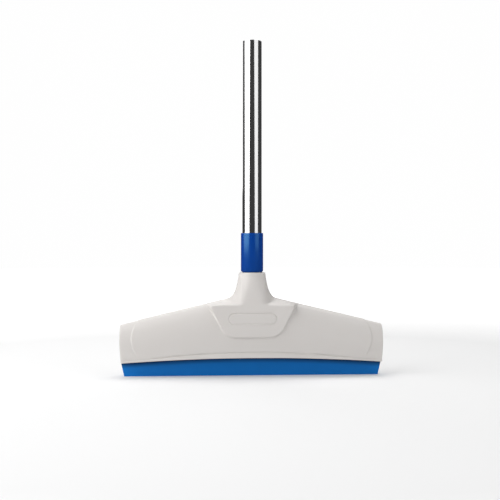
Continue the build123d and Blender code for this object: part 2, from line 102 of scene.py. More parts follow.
class Value:
    """A number that comes out of a node. Expressions on values add their Math nodes."""

    __add__ = __radd__ = maths("ADD")
    __mul__ = __rmul__ = maths("MULTIPLY")
    __sub__, __rsub__ = maths("SUBTRACT"), maths("SUBTRACT", swapped=True)
    __truediv__, __pow__ = maths("DIVIDE"), maths("POWER")

    def __init__(self, finish, socket):
        self.finish = finish
        self.socket = socket

    def math(self, operation, *values):
        return self.finish.node("ShaderNodeMath", {"operation": operation}, dict(enumerate(values)))

    def clamped(self):
        return self.math("MAXIMUM", self.math("MINIMUM", self, 1.0), 0.0)


class Finish:
    """A procedural material under construction."""

    def __init__(self, name, own_place=None):
        self.material = bpy.data.materials.new(name)
        self.material.use_nodes = True
        self.tree = self.material.node_tree
        self.shader = self.tree.nodes["Principled BSDF"]
        if own_place:  # an attribute of the piece, so that the pattern bends along with it
            self.place = self.node("ShaderNodeAttribute", {"attribute_name": own_place}, out="Vector")
        else:
            self.place = self.node("ShaderNodeTexCoord", out="Object")

    def node(self, kind, settings=None, inputs=None, out=0):
        """A node with its settings, then the values or links of its sockets. Gives back one output."""
        made = self.tree.nodes.new(kind)
        for key, value in (settings or {}).items():
            setattr(made, key, value)
        for key, value in (inputs or {}).items():
            self.feed(made.inputs[key], value)
        return Value(self, made.outputs[out])

    def feed(self, socket, value):
        if isinstance(value, Value):
            self.tree.links.new(value.socket, socket)
        else:
            socket.default_value = value

    def set(self, **values):
        """Sets the shader's own sockets. Underscores stand for spaces."""
        for key, value in values.items():
            self.feed(self.shader.inputs[key.replace("_", " ")], value)

    def axis(self, name):
        """One of the coordinates that the patterns follow."""
        return self.node("ShaderNodeSeparateXYZ", inputs={0: self.place}, out=name)

    def stretched(self, scale):
        """Those coordinates scaled along each axis."""
        return self.node("ShaderNodeMapping", inputs={"Vector": self.place, "Scale": scale}, out="Vector")

    def noise(self, size, detail=2.0, rough=0.5, vector=None):
        """Noise from 0 to 1 whose lumps are about `size` metres across."""
        inputs = {"Vector": vector or self.place, "Scale": 1 / size, "Detail": detail, "Roughness": rough}
        return self.node("ShaderNodeTexNoise", inputs=inputs, out="Fac")

    def mix(self, factor, first, second):
        """Blend of two colours."""
        inputs = {0: factor, 6: self.colour(first), 7: self.colour(second)}
        return self.node("ShaderNodeMix", {"data_type": "RGBA"}, inputs, out=2)

    def colour(self, value):
        return value if isinstance(value, Value) else (*value, 1.0)

    def bump(self, height, depth, strength=1.0):
        """Surface relief `depth` metres deep."""
        inputs = {"Strength": strength, "Distance": depth, "Height": height}
        return self.node("ShaderNodeBump", inputs=inputs, out="Normal")


# ---------------------------------------------------------------- finishes
def moulded_white(colour):
    """Satin moulded plastic with a fine spark-eroded grain."""
    made = Finish("moulded_white")
    cloud = made.noise(0.045, detail=3.0)
    grain = made.noise(0.00035, detail=2.0, rough=0.6)
    warm = tuple(c * k for c, k in zip(colour, (0.985, 0.975, 0.965)))
    made.set(
        Base_Color=made.mix(cloud, colour, warm),
        Roughness=0.36 + 0.08 * cloud + 0.05 * grain,
        Normal=made.bump(grain, 0.00002, 0.5),
        Specular_IOR_Level=0.45,
    )
    return made.material


def glossy_blue(colour):
    """Glossy moulded plastic."""
    made = Finish("glossy_blue")
    cloud = made.noise(0.02, detail=3.0)
    ripple = made.noise(0.004, detail=2.0)
    deep = tuple(c * 0.9 for c in colour)
    made.set(
        Base_Color=made.mix(cloud, colour, deep),
        Roughness=0.2 + 0.08 * cloud,
        Normal=made.bump(ripple, 0.00004, 0.3),
        Specular_IOR_Level=1.0,
        Specular_Tint=(0.3, 0.8, 1.0, 1.0),
    )
    return made.material


def rubber_blue(colour):
    """Soft rubber, drawn along the blade's length, darkened by painted shade in a band where it leaves the
    shell, under the shell's lip.
    """
    made = Finish("rubber_blue", own_place=STRAIGHT_PLACE)
    drawn = made.noise(0.004, detail=3.0, vector=made.stretched((0.04, 1.0, 1.0)))
    bloom = made.noise(0.03, detail=4.0)
    pale = tuple(min(1.0, c * 1.1 + 0.002) for c in colour)
    # painted shade colour: the rubber at a fifth of its brightness, standing in for the shadow under the
    # shell's lip
    shaded_blue = tuple(c * 0.2 for c in colour)
    x, z = made.axis("X"), made.axis("Z")
    crown, bow = 0.0200, 0.260  # the line's height at the middle, and its fall to the ends over x squared
    line = crown - bow * (x * x)
    held_part = ((z - line - 0.0022) / 0.0045).clamped()  # the part that is held in the shell
    # painted shade: a band from 6.5 mm below the shell's lower edge to a few mm above it is darkened, as the
    # lip's shadow would be; noise makes it uneven
    lip_shade = ((z - line + 0.0065) / 0.0055).clamped() ** 1.5 * (0.85 + 0.15 * bloom) * (1 - held_part)
    made.set(
        Base_Color=made.mix(lip_shade, made.mix(bloom, colour, pale), shaded_blue),
        Roughness=0.5 + 0.12 * drawn,
        Normal=made.bump(drawn, 0.00005, 0.35),
        Specular_IOR_Level=0.2,
    )
    return made.material


def bright_plate(colour):
    """Bright plating on drawn tube: long fine lines and a few hazy patches."""
    made = Finish("bright_plate")
    lines = made.noise(0.0006, detail=3.0, vector=made.stretched((1.0, 1.0, 0.01)))
    haze = made.noise(0.035, detail=4.0, rough=0.6)
    made.set(
        Base_Color=made.mix(haze, colour, tuple(c * 0.94 for c in colour)),
        Metallic=1.0,
        Roughness=0.07 + 0.05 * haze + 0.02 * lines,
        Normal=made.bump(lines, 0.000001, 0.15),
    )
    return made.material


def dull_metal(name, colour, along, roughness):
    """Worked metal with lines along one axis."""
    made = Finish(name)
    lines = made.noise(0.0005, detail=3.0, vector=made.stretched(along))
    spots = made.noise(0.006, detail=4.0)
    made.set(
        Base_Color=made.mix(spots, colour, tuple(c * 0.82 for c in colour)),
        Metallic=1.0,
        Roughness=roughness + 0.1 * lines + 0.08 * spots,
        Normal=made.bump(lines, 0.00001, 0.4),
    )
    return made.material


def plain_moulding(name, colour, roughness):
    """Small moulded fittings."""
    made = Finish(name)
    cloud = made.noise(0.008, detail=3.0)
    grain = made.noise(0.0004)
    made.set(
        Base_Color=made.mix(cloud, colour, tuple(c * 0.88 for c in colour)),
        Roughness=roughness + 0.1 * cloud,
        Normal=made.bump(grain, 0.00002, 0.4),
    )
    return made.material


def wear(piece, material):
    """Gives a piece one material."""
    piece.data.materials.clear()
    piece.data.materials.append(material)
    for polygon in piece.data.polygons:
        polygon.material_index = 0


# ---------------------------------------------------------------- mesh helpers
def mode(name):
    bpy.ops.object.mode_set(mode=name)


def select_whole():
    bpy.ops.mesh.select_all(action="SELECT")


def deselect():
    if bpy.context.object and bpy.context.object.mode != "OBJECT":
        mode("OBJECT")
    bpy.ops.object.select_all(action="DESELECT")


def linked(name, data):
    """New object in the scene."""
    made = bpy.data.objects.new(name, data)
    bpy.context.scene.collection.objects.link(made)
    return made


def activate(piece):
    """Selects one piece alone and makes it the active one."""
    deselect()
    piece.select_set(True)
    bpy.context.view_layer.objects.active = piece


def settle(piece):
    """Puts a piece's place, turn and size in its mesh."""
    activate(piece)
    bpy.ops.object.transform_apply(location=True, rotation=True, scale=True)
    return piece


def finished(piece, name, body, slot, material, *replaced, angle=35.0):
    """Names a piece, gives it its finish, puts its place in its mesh and hands it to its body."""
    piece.name = piece.data.name = name
    wear(piece, material)
    settle(piece)
    bpy.ops.object.shade_smooth_by_angle(angle=math.radians(angle))
    if body:
        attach(piece, body)
    if replaced:
        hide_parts(*replaced)
    return piece


def lathe(rings, segments=96, closed=True):
    """A ring of edges drawn up through (radius, height) pairs about the pole's axis."""
    deselect()
    radius, height = rings[0]
    bpy.ops.mesh.primitive_circle_add(vertices=segments, radius=radius, location=(0, 0, height))
    piece = bpy.context.object
    bpy.ops.object.transform_apply(location=True, rotation=False, scale=False)
    mode("EDIT")
    select_whole()
    for next_radius, next_height in [*rings[1:], *rings[: int(closed)]]:
        grow = next_radius / radius
        bpy.ops.mesh.extrude_edges_move(TRANSFORM_OT_translate={"value": (0, 0, next_height - height)})
        bpy.ops.transform.resize(value=(grow, grow, 1), center_override=(0, 0, next_height))
        radius, height = next_radius, next_height
    select_whole()
    bpy.ops.mesh.remove_doubles(threshold=MERGE)
    bpy.ops.mesh.normals_make_consistent(inside=False)
    mode("OBJECT")
    return piece


def arc(radius, height, size, start, end, count=4):
    """(radius, height) pairs on a quarter circle that rounds a corner."""
    angles = [math.radians(start + (end - start) * i / count) for i in range(count + 1)]
    return [(radius + size * math.cos(a), height + size * math.sin(a)) for a in angles]


def block(size, centre):
    """Box with its size and place in its mesh."""
    deselect()
    bpy.ops.mesh.primitive_cube_add(size=1, location=centre)
    bpy.ops.transform.resize(value=size)
    return settle(bpy.context.object)


def cylinder(radius, length, centre, turn=0.0):
    """Cylinder along Z, or tipped about X by `turn`."""
    deselect()
    bpy.ops.mesh.primitive_cylinder_add(
        vertices=48, radius=radius, depth=length, location=centre, rotation=(turn, 0, 0)
    )
    return settle(bpy.context.object)


def pick(piece, test):
    """Opens a piece for editing with the vertices that pass a test selected."""
    mode("EDIT")
    bpy.ops.mesh.select_mode(type="VERT")
    bpy.ops.mesh.select_all(action="DESELECT")
    mode("OBJECT")
    for vertex in piece.data.vertices:
        vertex.select = test(vertex.co)
    mode("EDIT")


def sliced(piece, heights):
    """Adds level edge loops."""
    mode("EDIT")
    for height in heights:
        select_whole()
        bpy.ops.mesh.bisect(plane_co=(0, 0, height), plane_no=(0, 0, 1))
    mode("OBJECT")


def apply(piece, kind, **values):
    """Adds a modifier and applies it."""
    activate(piece)
    modifier = piece.modifiers.new("made", kind)
    for key, value in values.items():
        setattr(modifier, key, value)
    bpy.ops.object.modifier_apply(modifier=modifier.name)


def soften(piece, width, segments=3, angle=30.0):
    """Rounds the sharp edges of a piece."""
    limit = math.radians(angle)
    apply(piece, "BEVEL", width=width, segments=segments, limit_method="ANGLE", angle_limit=limit)


def combined(piece, other, operation):
    """Cuts another solid from a piece, or adds it, and drops the other."""
    apply(piece, "BOOLEAN", operation=operation, object=other, solver="EXACT")
    bpy.data.objects.remove(other, do_unlink=True)


def one_piece(pieces):
    """Joins pieces into the first."""
    deselect()
    for piece in pieces:
        piece.select_set(True)
    bpy.context.view_layer.objects.active = pieces[0]
    bpy.ops.object.join()
    return bpy.context.object


# ---------------------------------------------------------------- form of the head
# The head's shoulders, neck and pad run into each other with soft blends of several radii, which
# no extrusion or bevel gives. So its shape is written as a distance to its surface, in
# millimetres, negative inside, and a mesh is drawn over it.


def joined(a, b, blend):
    """Union of two forms with a rounded inner corner `blend` wide."""
    h = np.clip(0.5 + 0.5 * (b - a) / blend, 0, 1)
    return b + (a - b) * h - blend * h * (1 - h)


def common(a, b, blend):
    """Intersection of two forms with a rounded outer edge `blend` wide."""
    return -joined(-a, -b, blend)


both = np.maximum  # intersection with a sharp edge


def step(value, start, end):
    """0 before start, 1 after end, smooth between."""
    t = np.clip((value - start) / (end - start), 0, 1)
    return t * t * (3 - 2 * t)


class HeadForm:
    """Distance functions of the moulded head. Arguments are arrays of x, y, z in millimetres."""

    # neck and shoulders
    NECK_RADIUS, NECK_TAPER = 15.1, 0.125
    RIDGE_STOP = 4.0  # ridge ends this far below the neck's rim
    ARC_SHARE = 0.94  # of the arc's radius: nearly upright there, it goes on as a straight line
    DEPTH_MIDDLE, DEPTH_END = 14.5, 9.5  # half depths
    CROWN_MIDDLE, CROWN_END = 30.0, 26.0  # height of the rounded top of a section
    NECK_FOOT, NECK_FADE = 14.0, 8.0  # the neck fades out this far above the pad's foot
    NECK_BLEND, NECK_FACE_ROUND, PAD_BLEND = 6.0, 1.2, 0.9
    # pad
    PAD_FOOT_HALF, PAD_TOP_HALF = 30.4, 48.0
    PAD_DRAFT = 6.0  # spread of its outline from the face back to the middle
    PAD_FOOT_ROUND, PAD_ROOF_ROUND, PAD_FACE_ROUND = 12.0, 4.0, 1.3
    RIDGE_COVER = 0.6  # its roof meets the middle this far below the ridge
    ROOF_LEAN = 0.85  # cosine of the roof's mean slope
    BADGE_LENGTH, BADGE_HEIGHT, BADGE_DROP = 55.0, 13.2, 15.0
    BADGE_LINE, BADGE_FLAT, BADGE_DEPTH = 0.95, 0.2, 0.55  # half widths at the face and at the bottom
    # lower edge and ends
    FOOT_INSET = 1.8  # the ends' foot inside the widest point
    END_BOW, WIDEST_HEIGHT = 0.0024, 43.0
    LIP_MIDDLE, LIP_END = 5.0, 1.6  # heights
    LIP_PROUD, LIP_LEAN = 2.0, 0.35  # at its foot, and drawn in for each mm up
    LIP_RUN = 120.0  # it is lowest from here to the ends
    COVE_DEPTH, COVE_WIDTH, COVE_FADE = 0.8, 0.8, (90.0, 125.0)
    PANEL_LINE, PANEL_BOW, PANEL_SINK, PANEL_FOOT = 136.6, 0.017, 0.65, (4.0, 12.0)
    EASE = 0.5  # half width of the steps at the lip's top and the panels' line
    END_ROUND, RIM_ROUND, FOOT_ROUND = 1.4, 1.0, 0.9
    # inside
    SLEEVE_WALL, SLEEVE_TAIL, SLEEVE_OPEN = 1.5, 14.0, 1.0
    RIB_HALF, RIB_PLACES = 0.9, (0.1, 0.31, 0.52, 0.73)
    SCREW_PLACES, SCREW_BELOW_RIDGE = (0.2, 0.52, 0.83), 18.0
    BOSS_RADIUS, WELL_RADIUS, WELL_DEPTH = 5.5, 3.6, 6.0
    SCREW_HOLE, SCREW_CLEAR, SCREW_REACH = 1.55, 1.6, 6.8
    NECK_BORE, SHOULDER_BORE = 13.3, 11.1
    FLANGE_BORE, FLANGE_FLAT, FLANGE_HALF, FLANGE_DROP = 15.3, 13.8, 1.1, 23.2
    CHANNEL_HALF, WING_HALF, WING_HEIGHT, MOUTH_HALF = 5.05, 6.75, 1.7, 6.2
    PLAY = 0.1  # round the parts that are dropped in
    SPLIT = 0.06  # each half stops this far from the middle

    def __init__(self, head):
        foot, top = low("front_shell") / MM, high("front_shell") / MM
        self.half_width = top.x
        self.neck_top = top.z
        self.foot_end = foot.z
        self.deepest = -foot.y
        self.bush = high("threaded_bush") / MM
        self.bush_foot = low("threaded_bush") / MM
        self.channel = high("blade_channel") / MM
        self.channel_foot = low("blade_channel") / MM
        self.slope = head.shoulder_slope
        self.apex = head.ridge_end / MM + self.slope * self.half_width
        self.reach_middle = head.blade_reach / MM
        self.flare = head.flare_radius / MM
        self.wall = head.wall / MM
        self.pad_top = self.apex - head.pad_drop / MM
        self.pad_foot = self.pad_top - head.pad_height / MM
        out = [share * self.half_width for share in self.SCREW_PLACES]
        self.screws = [
            (side * x, self.apex - self.slope * x - self.SCREW_BELOW_RIDGE) for x in out for side in (-1, 1)
        ]

    def neck_radius(self, z):
        return self.NECK_RADIUS + self.NECK_TAPER * (self.neck_top - z)

    def ridge(self, ax):
        """Height of the ridge and its steepness: a straight shoulder, then an arc up the neck's side."""
        straight = self.apex - self.slope * ax
        flat = math.hypot(1, self.slope)
        steep = math.hypot(1, self.NECK_TAPER)
        reach = self.neck_radius(0) + self.flare * steep
        # the arc's centre is x0, z0, and it runs from `turn` out to `last`
        z0 = (self.apex + self.flare * flat - self.slope * reach) / (1 - self.NECK_TAPER * self.slope)
        x0 = reach - self.NECK_TAPER * z0
        last = x0 - self.flare * self.slope / flat
        turn = x0 - self.flare * self.ARC_SHARE
        inner = np.clip(ax, turn, last)
        rise = z0 - np.sqrt(np.maximum(self.flare**2 - (inner - x0) ** 2, 0))
        climb = (x0 - turn) / math.sqrt(self.flare**2 - (x0 - turn) ** 2)
        rise = rise + climb * np.maximum(turn - ax, 0)
        top = np.minimum(np.where(ax < last, rise, straight), self.neck_top - self.RIDGE_STOP)
        return top, np.where(ax < last, 1.0, self.slope)

    def body(self, ax, ay, z):
        """Shoulders: upright walls under a half-elliptical crown."""
        share = ax / self.half_width
        deep = self.DEPTH_MIDDLE - (self.DEPTH_MIDDLE - self.DEPTH_END) * share**2
        crown = self.CROWN_MIDDLE - (self.CROWN_MIDDLE - self.CROWN_END) * share
        top, climb = self.ridge(ax)
        across = ay / deep
        rise = np.maximum(z - top + crown, 0) / crown
        far = np.sqrt(across**2 + rise**2) + 1e-9
        slow = np.sqrt((across / deep) ** 2 + (rise / crown) ** 2) + 1e-9
        lean = np.hypot(1, climb * rise / far)
        return far * (far - 1) / slow / lean

    def pad(self, ax, ay, z):
        """Raised pad with drafted sides. Its roof slopes back up to the ridge."""
        back = np.clip(1 - ay / self.deepest, 0, 1)
        spread = self.PAD_DRAFT * back
        lean = (self.PAD_TOP_HALF - self.PAD_FOOT_HALF) / (self.pad_top - self.pad_foot)
        side = (ax - self.PAD_FOOT_HALF - spread - lean * (z - self.pad_foot)) / math.hypot(1, lean)
        foot = self.pad_foot - spread - z
        crest = self.apex - self.slope * ax - self.RIDGE_COVER
        roof = z - self.pad_top - (crest - self.pad_top) * back
        form = common(side, foot, self.PAD_FOOT_ROUND)
        form = common(form, roof * self.ROOF_LEAN, self.PAD_ROOF_ROUND)
        return common(form, ay - self.deepest, self.PAD_FACE_ROUND)

    def lower_edge(self, ax):
        share = ax / (self.half_width - self.FOOT_INSET)
        return self.reach_middle - (self.reach_middle - self.foot_end) * share**2

    def end_face(self, ax, z):
        return ax - self.half_width + self.END_BOW * (z - self.WIDEST_HEIGHT) ** 2

    def skin(self, ax, ay, z):
        """Shoulders, neck and pad, without the lip and the cut ends."""
        form = joined(self.body(ax, ay, z), self.pad(ax, ay, z), self.PAD_BLEND)
        neck = np.hypot(ax, ay) - self.neck_radius(z)
        neck = common(neck, self.pad_foot + self.NECK_FOOT - z, self.NECK_FADE)
        form = joined(form, neck, self.NECK_BLEND)
        return common(form, ay - self.deepest, self.NECK_FACE_ROUND)

    def lip(self, ax, above):
        """Height added along the lower edge, with a cove drawn in over it."""
        middle = np.clip(1 - (ax / self.LIP_RUN) ** 2, 0, 1)
        height = self.LIP_END + (self.LIP_MIDDLE - self.LIP_END) * middle
        lip = self.LIP_PROUD - self.LIP_LEAN * above
        lip = lip * (1 - step(above, height - self.EASE, height + self.EASE))
        line = (above - height - self.COVE_WIDTH) / self.COVE_WIDTH
        return lip - self.COVE_DEPTH * np.exp(-(line**2)) * (1 - step(ax, *self.COVE_FADE))

    def outside(self, ax, ay, z):
        """Whole outer surface: the skin with its lip, its sunken end panels and its cut edges."""
        above = z - self.lower_edge(ax)
        line = self.PANEL_LINE - self.PANEL_BOW * (z - self.WIDEST_HEIGHT) ** 2
        sunk = self.PANEL_SINK * step(ax, line - self.EASE, line + self.EASE) * step(above, *self.PANEL_FOOT)
        form = self.skin(ax, ay, z) - self.lip(ax, above) + sunk
        form = common(form, self.end_face(ax, z), self.END_ROUND)
        form = common(form, z - self.neck_top, self.RIM_ROUND)
        return common(form, -above, self.FOOT_ROUND)

    def badge(self, x, z):
        """Depth of the oval line in the pad's face."""
        straight = (self.BADGE_LENGTH - self.BADGE_HEIGHT) / 2
        across = np.maximum(np.abs(x) - straight, 0)
        away = np.hypot(across, z - self.pad_top + self.BADGE_DROP)
        ring = np.abs(away - self.BADGE_HEIGHT / 2 + self.EASE)
        return self.BADGE_DEPTH * (1 - step(ring, self.BADGE_FLAT, self.BADGE_LINE))

    def cavity(self, x, ax, ay, z):
        """Space inside the head, round the bush's sleeve, the ribs and the screw bosses."""
        r = np.hypot(ax, ay)
        space = both(self.skin(ax, ay, z), self.end_face(ax, z)) + self.wall
        sleeve = both(r - self.bush.y - self.SLEEVE_WALL, self.bush_foot.z - self.SLEEVE_TAIL - z)
        space = both(space, -sleeve)
        for share in self.RIB_PLACES:
            rib = both(np.abs(ax - share * self.half_width) - self.RIB_HALF, self.channel_foot.z - z)
            space = both(space, -rib)
        for screw_x, screw_z in self.screws:
            space = both(space, self.BOSS_RADIUS - np.hypot(x - screw_x, z - screw_z))
        return space

    def pockets(self, ax, ay, z):
        """Seats of the bush and the channel, and the open ends below the channel."""
        r = np.hypot(ax, ay)
        level = np.abs(z - self.neck_top + self.FLANGE_DROP)
        flange = both(r - self.FLANGE_BORE, level - self.FLANGE_HALF)
        roof = z - self.channel.z - self.PLAY
        seats = [
            both(r - self.NECK_BORE, self.bush_foot.z - self.PLAY - z),
            both(r - self.SHOULDER_BORE, self.bush_foot.z - self.SLEEVE_TAIL - self.SLEEVE_OPEN - z),
            both(flange, ay - self.FLANGE_FLAT),
            both(both(ay - self.CHANNEL_HALF, self.channel_foot.z - self.PLAY - z), roof),
            both(both(ay - self.WING_HALF, self.channel.z - self.WING_HEIGHT - z), roof),
            both(ay - self.MOUTH_HALF, z - self.channel_foot.z),
        ]
        return np.minimum.reduce(seats)

    def half(self, side):
        """Field of one half shell: side is -1 for the front and 1 for the rear."""

        def field(x, y, z):
            ax, ay = np.abs(x), np.abs(y)
            form = self.outside(ax, ay, z)
            if side < 0:
                form = form + self.badge(x, z)
            form = both(form, -self.cavity(x, ax, ay, z))
            form = both(form, -self.pockets(ax, ay, z))
            for screw_x, screw_z in self.screws:
                r = np.hypot(x - screw_x, z - screw_z)
                if side < 0:
                    hole = both(r - self.SCREW_HOLE, -self.SCREW_REACH - y)
                else:
                    well = both(r - self.WELL_RADIUS, self.WELL_DEPTH - y)
                    hole = np.minimum(r - self.SCREW_CLEAR, well)
                form = both(form, -hole)
            return both(form, self.SPLIT - side * y)

        return field


def spaced(*runs):
    """Positions along an axis from (end, spacing) runs: each run ends at `end`."""
    start, _ = runs[0]
    places = [np.array([start])]
    for end, gap in runs[1:]:
        count = max(1, round((end - start) / gap))
        places.append(np.linspace(start, end, count + 1)[1:])
        start = end
    return np.concatenate(places)


HALVINGS = 9  # of a grid edge, to find where the surface crosses it
NUDGE = 0.02  # distance in millimetres over which the surface's slope is taken
CALM = 0.08  # pull of a vertex towards the mean of its crossings, so flat cells don't throw it out


def contour(field, xs, ys, zs):
    """Vertices and quads over the surface where field is 0, by dual contouring on a grid of boxes."""
    axes = (xs, ys, zs)
    inside = field(*np.meshgrid(*axes, indexing="ij")) < 0
    shape = inside.shape
    cells = np.array(shape) - 1
    points, cell_ids, quads = [], [], []
    for axis in range(3):
        other = [k for k in range(3) if k != axis]
        first, second = [slice(None)] * 3, [slice(None)] * 3
        first[axis], second[axis] = slice(0, -1), slice(1, None)
        crossed = inside[tuple(first)] != inside[tuple(second)]
        index = np.argwhere(crossed)
        for k in other:
            index = index[(index[:, k] > 0) & (index[:, k] < shape[k] - 1)]
        near = np.stack([axes[k][index[:, k]] for k in range(3)], 1)
        far = near.copy()
        far[:, axis] = axes[axis][index[:, axis] + 1]
        near_in = inside[tuple(index.T)]
        a, b = near.copy(), far.copy()
        for _ in range(HALVINGS):
            middle = (a + b) / 2
            same = (field(*middle.T) < 0) == near_in
            a[same], b[~same] = middle[same], middle[~same]
        crossing = (a + b) / 2
        around = []
        for da, db in ((0, 0), (1, 0), (1, 1), (0, 1)):
            cell = index.copy()
            cell[:, other[0]] -= da
            cell[:, other[1]] -= db
            around.append(np.ravel_multi_index(cell.T, cells))
        around = np.stack(around, 1)
        flip = near_in if axis != 1 else ~near_in
        quads.append(np.where(flip[:, None], around[:, ::-1], around))
        points.append(np.repeat(crossing, 4, axis=0))
        cell_ids.append(around.ravel())
    points, cell_ids, quads = np.concatenate(points), np.concatenate(cell_ids), np.concatenate(quads)
    used, slot = np.unique(cell_ids, return_inverse=True)
    vertices = sharpened(field, points, slot, len(used))
    corner = np.stack(np.unravel_index(used, cells), 1)
    lower = np.stack([axes[k][corner[:, k]] for k in range(3)], 1)
    upper = np.stack([axes[k][corner[:, k] + 1] for k in range(3)], 1)
    vertices = np.clip(vertices, lower, upper)
    return vertices, np.searchsorted(used, quads)


def sharpened(field, points, slot, count):
    """One vertex for each cell, where the tangent planes of its crossings meet, so edges stay crisp."""
    nudges = NUDGE * np.eye(3)
    normals = np.stack([field(*(points + n).T) - field(*(points - n).T) for n in nudges], 1)
    normals /= np.linalg.norm(normals, axis=1, keepdims=True) + 1e-12
    number = np.bincount(slot, minlength=count)[:, None]
    mean = np.stack([np.bincount(slot, points[:, k], count) for k in range(3)], 1) / number
    offset = np.einsum("ij,ij->i", normals, points - mean[slot])
    matrix = np.zeros((count, 3, 3))
    target = np.zeros((count, 3))
    for i in range(3):
        target[:, i] = np.bincount(slot, normals[:, i] * offset, count)
        for j in range(3):
            matrix[:, i, j] = np.bincount(slot, normals[:, i] * normals[:, j], count)
    matrix += np.eye(3) * CALM
    return mean + np.linalg.solve(matrix, target[:, :, None])[:, :, 0]


# ---------------------------------------------------------------- settings
def length(name, description, default):
    return FloatProperty(name=name, description=description, default=default, unit="LENGTH")


def colour(name, description, default):
    return FloatVectorProperty(
        name=name, description=description, default=default, subtype="COLOR", size=3, min=0.0, max=1.0
    )


class SqueegeeFinishes(PropertyGroup):
    """Colours of the squeegee."""

    shell: colour("Shell", "Moulded head", (0.685, 0.66, 0.64))
    ferrule: colour("Ferrule", "Sleeve round the tube", (0.001, 0.045, 0.30))
    blade: colour("Blade", "Rubber blade", (0.0, 0.17, 0.56))
    plate: colour("Plate", "Bright plated tube", (0.80, 0.80, 0.80))


class SqueegeeHead(PropertyGroup):
    """Shape of the moulded head."""

    shoulder_slope: FloatProperty(name="Shoulder slope", description="Rise of the ridge", default=0.24)
    ridge_end: length("Ridge at the ends", "Height of the ridge at the ends", 58.8 * MM)
    blade_reach: length("Blade reach", "Blade showing below the middle of the shell", 21.4 * MM)
    flare_radius: length("Flare", "Sweep from the shoulder up into the neck", 17.0 * MM)
    wall: length("Wall", "Thickness of the shells", 2.2 * MM)
    pad_drop: length("Pad drop", "Pad's top edge below the point where the shoulders would meet", 14.3 * MM)
    pad_height: length("Pad height", "Height of the pad's face", 35.8 * MM)
    spacing: FloatProperty(
        name="Spacing", description="Multiple of the finest mesh spacing", default=1.25, min=0.5, max=4.0
    )


class SqueegeePole(PropertyGroup):
    """Sizes of the pole and of its threaded nose."""

    rim_round: length("Rim", "Rounding of the tube's cut end", 0.2 * MM)
    tube_wall: length("Tube wall", "Thickness of the steel", 0.8 * MM)
    groove_height: length("Groove height", "Rolled groove under the ferrule's rim", 3.0 * MM)
    groove_depth: length("Groove depth", "Depth of the rolled groove", 0.3 * MM)
    ferrule_chamfer: length("Foot chamfer", "Chamfer at the ferrule's foot", 1.7 * MM)
    ferrule_round: length("Ferrule rim", "Rounding of the ferrule's upper rim", 0.5 * MM)
    floor: length("Floor", "Ferrule's floor under the tube", 4.0 * MM)
    nose_radius: length("Nose radius", "Core of the threaded nose", 7.9 * MM)
    nose_bore: length("Nose bore", "Bore through the nose", 5.0 * MM)
    thread_depth: length("Thread depth", "Height of the thread's ridge", 1.6 * MM)
    thread_pitch: length("Thread pitch", "Rise of the thread in a turn", 5.0 * MM)
    thread_root: length("Thread root", "Width of the ridge at its root", 2.4 * MM)
    thread_crest: length("Thread crest", "Width of the ridge at its crest", 1.2 * MM)
    thread_turns: FloatProperty(name="Thread turns", description="Turns of the ridge", default=3.5)
    bush_bore: length("Bush bore", "Radius of the end bush's bore", 8.0 * MM)
    bush_floor: length("Bush floor", "Thickness of the end bush's floor", 3.0 * MM)
    segments: IntProperty(name="Segments", description="Facets round", default=128, min=24, max=256)


class SqueegeeBlade(PropertyGroup):
    """Shape of the rubber blade."""

    bead_height: length("Bead height", "Height of the bead along its top", 3.8 * MM)
    edge_thickness: length("Edge", "Thickness at the working edge", 2.2 * MM)
    taper_from: length("Taper from", "Height where the rubber starts to thin", 23.2 * MM)
    end_trim: length("End trim", "How far the slanted ends run in", 3.2 * MM)
    trim_height: length("Trim height", "Height of the slanted ends", 14.0 * MM)
    edge_round: length("Rounding", "Rounding of the rubber's edges", 0.25 * MM)
    bend_top: length("Bend from", "Height where the rubber starts to bend", 26.2 * MM)
    bend_foot: length("Bend to", "Height below which the rubber is straight", 7.0 * MM)
    loops: IntProperty(name="Loops", description="Loops over the bend", default=22, min=4, max=60)


class SqueegeeScrews(PropertyGroup):
    """Sizes of the pan-head screws."""

    head_height: length("Head height", "Height of the pan head", 2.2 * MM)
    head_radius: length("Head radius", "Radius of the pan head", 3.2 * MM)
    head_round: length("Head round", "Rounding of the pan head", 1.0 * MM)
    shank_radius: length("Shank radius", "Radius of the shank", 1.5 * MM)
    recess_width: length("Recess width", "Width of each arm of the cross recess", 0.9 * MM)
    recess_length: length("Recess length", "Length of each arm pair", 4.2 * MM)


class SqueegeeStage(PropertyGroup):
    """Camera, floor and lights."""

    distance: length("Distance", "Camera to the pole", 1.0)
    eye_height: length("Eye height", "Camera above the floor", 0.143)
    aside: length("Aside", "How far right of the pole the camera looks", -0.0023)
    light_aim: length("Light aim", "Height at which the lights point", 0.15)
    azimuth: FloatProperty(
        name="Azimuth", description="Camera round the pole from the front", default=math.radians(-3.8),
        subtype="ANGLE",
    )
    lens: FloatProperty(name="Lens", description="Focal length", default=63.0, unit="CAMERA")
    glow: FloatProperty(name="Glow", description="Light given off by the floor", default=0.11)
    ambient: FloatProperty(name="Ambient", description="Even light from all round", default=0.05)


def settings():
    return bpy.context.scene.squeegee


class SqueegeeSettings(PropertyGroup):
    """All settings of the squeegee."""

    finishes: PointerProperty(type=SqueegeeFinishes)
    head: PointerProperty(type=SqueegeeHead)
    pole: PointerProperty(type=SqueegeePole)
    blade: PointerProperty(type=SqueegeeBlade)
    screws: PointerProperty(type=SqueegeeScrews)
    stage: PointerProperty(type=SqueegeeStage)


